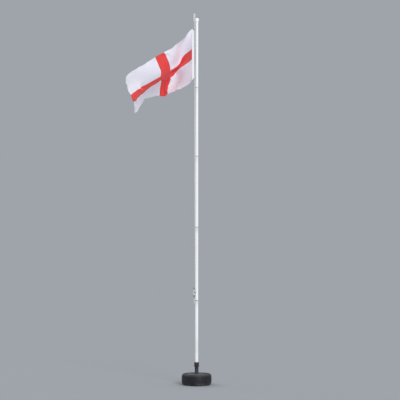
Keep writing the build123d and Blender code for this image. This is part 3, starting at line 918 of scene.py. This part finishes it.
def relaxed_cloth(columns, rows, steps):
    """The flying cloth: unstretched, blown and hanging, its lines led along the lines of sight."""
    cloth = guide_surface(columns, rows)
    pinned = cloth[0].copy()
    solid = cloth.copy()
    solid_normals = surface_normals(solid)
    before = cloth.copy()
    springs = cloth_springs(columns, rows)
    column, row, eye, rays = sight_guides(columns, rows)
    weights = spread_weights(column, row, columns, rows, SIGHT_REACH)
    crowding = np.maximum(weights.sum(0), 1.0)[:, None]
    along = np.linspace(0.0, 1.0, columns + 1)[:, None]
    down = np.linspace(0.0, 1.0, rows + 1)[None, :]
    for step in range(steps):
        damping = DAMPING[step >= CALM_SHARE * steps]
        speed = (cloth - before) / INTERVAL * (1 - damping)
        normals = surface_normals(cloth)
        air = air_speed(along, down, step)
        push = ((air - speed) * normals).sum(-1, keepdims=True) * normals * DRAG
        before = cloth.copy()
        cloth = cloth + speed * INTERVAL + (push + np.array(GRAVITY)) * INTERVAL ** 2
        for _ in range(LENGTH_PASSES):
            arms = sample_grid(cloth, column, row) - eye
            pulls = rays * (arms * rays).sum(1, keepdims=True) - arms
            cloth = cloth + ((weights.T @ pulls) / crowding * SIGHT_PULL).reshape(cloth.shape)
            off = ((solid - cloth) * solid_normals).sum(-1, keepdims=True)
            cloth = cloth + SOLID_HOLD * off * solid_normals
            for first, second, rest, share in springs:
                keep_length(cloth, first, second, rest, share)
            cloth[0] = pinned
    return eased(cloth)


def eased(cloth):
    """The cloth with its sharpest creases eased, each point drawn to the middle of its neighbours."""
    pinned = cloth[0].copy()
    for _ in range(EASING_PASSES):
        along = extended(cloth, 0)
        beside = extended(cloth, 1)
        middle = (along[2:] + along[:-2] + beside[:, 2:] + beside[:, :-2]) / 4
        cloth = cloth + 0.5 * (middle - cloth)
        cloth[0] = pinned
    return cloth


class Cloth:
    """Smooth surface of the relaxed cloth, addressed by distance along the fly and down the hoist."""

    def __init__(self):
        self.columns, self.rows = CLOTH_GRIDS[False]
        self.grid = relaxed_cloth(self.columns, self.rows, CLOTH_STEPS[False])

    def points(self, across, down):
        column = np.clip((across - HEADER_WIDTH) / (FLY - HEADER_WIDTH), 0.0, 1.0) * self.columns
        row = np.clip(down / HOIST, 0.0, 1.0) * self.rows
        return sample_grid(self.grid, column, row)

    def shell(self, name, across, down, half, material):
        """Closed thin solid over a patch of the cloth, half a thickness each side of its surface."""
        places_across, places_down = np.meshgrid(across, down, indexing="ij")
        middle = self.points(places_across, places_down)
        normals = surface_normals(middle)
        points = np.concatenate([middle + half * normals, middle - half * normals]).reshape(-1, 3)
        count = places_across.size
        front = grid_faces(len(across), len(down))
        back = front[:, ::-1] + count
        corner = np.arange(count).reshape(places_across.shape)
        border = [*corner[0], *corner[1:, -1], *corner[-1, -2::-1], *corner[-2:0:-1, 0]]
        pairs = zip(border, border[1:] + border[:1])
        rim = [(here, here + count, after + count, after) for here, after in pairs]
        faces = front.tolist() + back.tolist() + rim
        lay = np.stack([places_across, places_down], -1).reshape(-1, 2)
        return add_piece(name, points, faces, material, "flag", np.concatenate([lay, lay]))


def stations(low, high, pitch):
    """Even places between two distances, about a pitch apart."""
    return np.linspace(low, high, max(2, int(round((high - low) / pitch)) + 1))


def flag_strips(across, down, pitch):
    """Hems and seams of the cross by name: places along the fly, down the hoist, and half thickness."""
    hem = stations(0.0, HEM_WIDTH, 0.005)
    seam = stations(-SEAM_WIDTH / 2, SEAM_WIDTH / 2, 0.004)
    strips = {
        "flag_hem_top": (across, hem, HEM_HALF),
        "flag_hem_bottom": (across, HOIST - hem[::-1], HEM_HALF),
        "flag_hem_fly": (FLY - hem[::-1], down, HEM_HALF * 1.25),
    }
    inside = stations(HEM_WIDTH, HOIST - HEM_WIDTH, pitch)
    for side, word in ((-1, "near"), (1, "far")):
        strips[f"flag_seam_{word}"] = (FLY / 2 + side * CROSS_ARM / 2 + seam, inside, SEAM_HALF)
    gap = CROSS_ARM / 2 + SEAM_WIDTH / 2
    parts = (("hoist", HEADER_WIDTH, FLY / 2 - gap), ("fly", FLY / 2 + gap, FLY - HEM_WIDTH))
    for side, word in ((-1, "upper"), (1, "lower")):
        middle = HOIST / 2 + side * CROSS_ARM / 2
        for part, low, high in parts:
            strips[f"flag_seam_{word}_{part}"] = (stations(low, high, pitch), middle + seam, SEAM_HALF)
    return strips


def add_flag():
    """Cloth with its hems and the seams of the cross."""
    cloth = Cloth()
    pitch = CLOTH_PITCHES[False]
    across = stations(HEADER_WIDTH, FLY, pitch)
    down = stations(0.0, HOIST, pitch)
    fabric = cloth.shell("flag_fabric", across, down, CLOTH_HALF, flag_fabric())
    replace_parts(fabric, "flag_cloth")
    folded = seam_fabric()
    places = flag_strips(across, down, pitch)
    strips = [cloth.shell(name, *place, folded) for name, place in places.items()]


def stitch():
    """Points and faces of one stitch that stands out of the tape, along the tape's length."""
    outline = [(-1.0, 0.0, 0.0), (-0.55, 1.0, 0.0), (0.55, 1.0, 0.0)]
    outline += [(1.0, 0.0, 0.0), (0.55, -1.0, 0.0), (-0.55, -1.0, 0.0)]
    crown = [(-0.5, 0.0, 1.0), (0.5, 0.0, 1.0)]
    faces = [(0, 1, 6), (1, 2, 7, 6), (2, 3, 7), (3, 4, 7), (4, 5, 6, 7), (5, 0, 6), (5, 4, 3, 2, 1, 0)]
    return np.array(outline + crown) * STITCH_SIZE, faces


def add_header_stitches():
    """Three rows of stitches on both faces of the header tape."""
    origin, out, front, up = flag_axes()
    local, stitch_faces = stitch()
    points = []
    faces = []
    for side in (-1, 1):
        axes = np.stack([up, out * side, front * side])
        for reach in STITCH_ROWS:
            for number in range(int(HOIST / STITCH_PITCH) - 4):
                drop = (number + 2.5) * STITCH_PITCH
                place = origin + out * (HEADER_OFFSET + reach) - up * drop + front * side * HEADER_HALF
                offset = len(points) * len(local)
                points.append(place + local @ axes)
                faces += [[offset + corner for corner in face] for face in stitch_faces]
    thread = header_canvas()
    add_piece("header_stitches", np.concatenate(points), faces, thread, "flag")


# Tyre and concrete.

def top_of(node, x, y):
    """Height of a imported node's highest surface at a place seen from above."""
    found, place, _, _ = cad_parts[node].ray_cast(Vector((x, y, 1.0)), Vector((0.0, 0.0, -1.0)))
    return place.z if found else 0.0


def level_ring(angles, radius, height):
    """Points of a level circle about the pole."""
    return [(radius * cos(angle), radius * sin(angle), height) for angle in angles]


def trowelled_ring(angles, radius, height):
    """Ring of the concrete's rough top."""
    ring = []
    for angle in angles:
        place = Vector((radius * cos(angle), radius * sin(angle), 0.3))
        lumps = noise.fractal(place * 26, 0.9, 2.1, 5) * 0.0016
        trowel = noise.noise(place * 9) * 0.0022
        ring.append((place.x, place.y, height + (lumps + trowel)))
    return ring


def smeared_ring(angles, step):
    """Ring of the uneven film over the tyre's bead, thinner and further out at each step."""
    ring = []
    for angle in angles:
        smear = 0.012 + 0.012 * noise.noise(Vector((cos(angle) * 3.1, sin(angle) * 3.1, 1.7)))
        smear += 0.004 * noise.noise(Vector((cos(angle) * 14, sin(angle) * 14, 4.0)))
        radius = BEAD_RADIUS - 0.001 + max(smear, 0.003) * step / SMEAR_RINGS
        x, y = radius * cos(angle), radius * sin(angle)
        film = 0.0022 * (1 - (step / SMEAR_RINGS) ** 2) - 0.0006
        lump = 0.0007 * noise.noise(Vector((x * 60, y * 60, 2.0)))
        ground = max(top_of("tyre", x, y), FILL_EDGE_Z - 0.003)
        ring.append((x, y, ground + film + lump * (1 - step / SMEAR_RINGS)))
    return ring


def add_concrete():
    """Concrete of the base: rough, sloped off the pole and smeared unevenly over the tyre's bead."""
    angles = 2 * pi * np.arange(CONCRETE_SEGMENTS) / CONCRETE_SEGMENTS
    rings = [level_ring(angles, 0.001, 0.17), level_ring(angles, 0.0006 + SOCKET_RADIUS, 0.17)]
    reach = np.linspace(SOCKET_RADIUS + 0.0006, BEAD_RADIUS - 0.002, CONCRETE_RINGS)
    for radius in reach:
        share = (radius - reach[0]) / (reach[-1] - reach[0])
        height = FILL_CENTRE_Z + (FILL_EDGE_Z - FILL_CENTRE_Z) * share
        rings.append(trowelled_ring(angles, radius, height))
    rings += [smeared_ring(angles, step) for step in range(1, SMEAR_RINGS + 1)]
    rings.append([(x * 0.975, y * 0.975, z - 0.006) for x, y, z in rings[-1]])
    for inset, height in ((0.0015, 0.160), (0.0015, 0.020), (0.004, 0.0)):
        rings.append(level_ring(angles, BEAD_RADIUS - inset, height))
    rings.append(level_ring(angles, 0.05, 0.0))
    points = np.array(rings).reshape(-1, 3)
    faces = grid_faces(len(rings), CONCRETE_SEGMENTS, closed_columns=True).tolist()
    faces += [cap[::-1] for cap in end_caps(len(rings), CONCRETE_SEGMENTS)]
    fill = add_piece("concrete_cast", points, faces, concrete(), "pole")
    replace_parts(fill, "concrete_fill")


def add_sidewall_ribs(material):
    """Moulded rings on both sidewalls of the tyre."""
    for number, (radius, half, height) in enumerate(SIDEWALL_RIBS):
        level = top_of("tyre", radius, 0.0)
        rise = [(radius - half, -0.0006), (radius - half * 0.6, height * 0.75), (radius, height)]
        rise += [(radius + half * 0.6, height * 0.75), (radius + half, -0.0006)]
        for side, word in ((1, "upper"), (-1, "lower")):
            base = level if side > 0 else TYRE_WIDTH - level
            points = turned_points([(reach, base + side * lift) for reach, lift in rise], 144)
            faces = grid_faces(len(rise), 144, closed_rows=True, closed_columns=True)
            faces = faces if side < 0 else faces[:, ::-1]
            add_piece(f"sidewall_rib_{word}_{number + 1}", points, faces, material, "pole")


# Small fasteners.

def add_fastener(name, place, outward, size, head, foot, segments, bright):
    """Head of a bolt or screw, standing on a surface and a little way into it."""
    start = [(foot, -FASTENER_DEPTH), (size * head[0][0], -FASTENER_DEPTH)]
    profile = start + [(size * reach, size * rise) for reach, rise, _ in head]
    flats = [0, 0] + [sides for _, _, sides in head]
    frame_there = axes_to(outward, place)
    add_turned(name, profile, segments, bright, "pole", frame_there, flats)


def add_fasteners(bright):
    """Collar bolts and cleat screws."""
    for number, azimuth in enumerate((40.0, 130.0)):
        outward = Vector((cos(radians(azimuth)), sin(radians(azimuth)), 0.0))
        place = outward * COLLAR_RADIUS + Vector((0.0, 0.0, (COLLAR_LOW + COLLAR_HIGH) / 2))
        add_fastener(f"collar_bolt_{number + 1}", place, outward, 0.0085, BOLT_HEAD, 0.0005, 48, bright)
    outward = cleat_point(0.0, 1.0, 0.0) - cleat_point(0.0, 0.0, 0.0)
    for end, word in ((1, "upper"), (-1, "lower")):
        place = cleat_point(0.0, 0.0350, end * 0.024)
        add_fastener(f"cleat_screw_{word}", place, outward, 0.0045, SCREW_HEAD, 0.00009, 36, bright)


def add_sheave_hub(bright):
    """Pressed bush in each face of the sheave, round the pin."""
    profile = [(0.0043, -0.0004), (0.0080, -0.0004), (0.0080, 0.0003)]
    profile += [(0.0072, 0.0006), (0.0047, 0.0006), (0.0043, 0.0003)]
    faces = grid_faces(len(profile), 36, closed_rows=True, closed_columns=True)[:, ::-1]
    for side, word in ((-1, "outer"), (1, "inner")):
        place = axes_to((side, 0.0, 0.0), (SHEAVE_X + side * SHEAVE_HALF_WIDTH, 0.0, SHEAVE_Z))
        points = turned_points(profile, 36, place)
        add_piece(f"sheave_bush_{word}", points, faces, bright, "sheave")


# Stage, light and camera.

def floor_paint():
    """Floor that fades into the backdrop away from the base."""
    graph = Graph("floor", Roughness=0.9, Specular_IOR_Level=0.1)
    distance = graph.add("VectorMath", {0: graph.place}, operation="LENGTH").outputs["Value"]
    fade = graph.span(distance, FLOOR_FADE_START, FLOOR_FADE_END)
    seen = graph.seen()
    glow = graph.add("Emission", {"Color": BACKDROP_TONE})
    graph.blend("Material Output", graph.product(fade, seen), graph.shader, glow)
    return graph.finished(graph.mix(seen, FLOOR_PAINT, FLOOR_TONE))


def add_floor():
    """Wide round floor under the base."""
    segments = 96
    radii = (0.02, 1.0, 3.0, FLOOR_FADE_START, 7.0, FLOOR_FADE_END, 25.0, FLOOR_RADIUS)
    points = turned_points([(radius, 0.0) for radius in radii], segments)
    faces = grid_faces(len(radii), segments, closed_columns=True).tolist()
    faces.append(list(range(segments)))
    mesh = new_mesh("floor", points, faces)
    mesh.materials.append(floor_paint())
    placed("floor", mesh)


def add_light():
    """Soft light from the front right, a weaker one from behind on the left, and an even fill."""
    world = bpy.data.worlds.new("studio")
    bpy.context.scene.world = world
    world.use_nodes = True
    nodes = Nodes(world.node_tree)
    fill = world.node_tree.nodes["Background"]
    fill.inputs["Color"].default_value = FILL_COLOUR
    fill.inputs["Strength"].default_value = FILL_STRENGTH
    backdrop = nodes.add("Background", {"Color": BACKDROP_TONE})
    nodes.blend("World Output", nodes.seen(), fill, backdrop)
    for name, (towards, strength, spread) in LAMPS.items():
        lamp = bpy.data.lights.new(name, "SUN")
        lamp.energy = strength
        lamp.angle = radians(spread)
        placed(name, lamp).rotation_euler = Vector(towards).to_track_quat("-Z", "Y").to_euler()


def add_camera():
    """Camera at the photograph's place and angle of view."""
    data = bpy.data.cameras.new("camera")
    data.lens = LENS
    data.sensor_width = SENSOR
    data.clip_end = 300.0
    camera = placed("camera", data)
    camera.location = CAMERA_PLACE
    camera.rotation_euler = (radians(90.0 + CAMERA_RISE), 0.0, 0.0)
    bpy.context.scene.camera = camera


def dress_nodes(bright):
    """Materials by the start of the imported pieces' names, where a later start wins."""
    finishes = {
        "pole_section": pole_paint(),
        "joint_sleeve": joint_paint(),
        "tyre": rubber(),
        "socket": dark_steel(),
        "truck_cap": gloss_white(),
        "truck_fork": fork_paint(),
        "sheave": nylon("sheave_plastic", (232, 233, 234), (246, 246, 245), 0.4),
        "sheave_pin": bright,
        "flag_clip": bright,
        "cleat": nylon("cleat_plastic", (16, 16, 18), (34, 34, 37), 0.5),
        "grommet": steel("eye_brass", (178, 138, 70), (214, 176, 104)),
        "flag_header": header_canvas(),
    }
    for start, material in finishes.items():
        for name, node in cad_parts.items():
            if name.startswith(start):
                for slot in node.material_slots:
                    slot.material = material
    return finishes


bright_steel = steel("bright_steel", (172, 174, 178), (206, 208, 210))
node_finishes = dress_nodes(bright_steel)
add_camera()
add_light()
add_floor()
add_ropes()
add_flag()
add_header_stitches()
add_concrete()
add_sidewall_ribs(node_finishes["tyre"])
add_fasteners(bright_steel)
add_sheave_hub(bright_steel)

bpy.context.scene.view_settings.view_transform = "Standard"
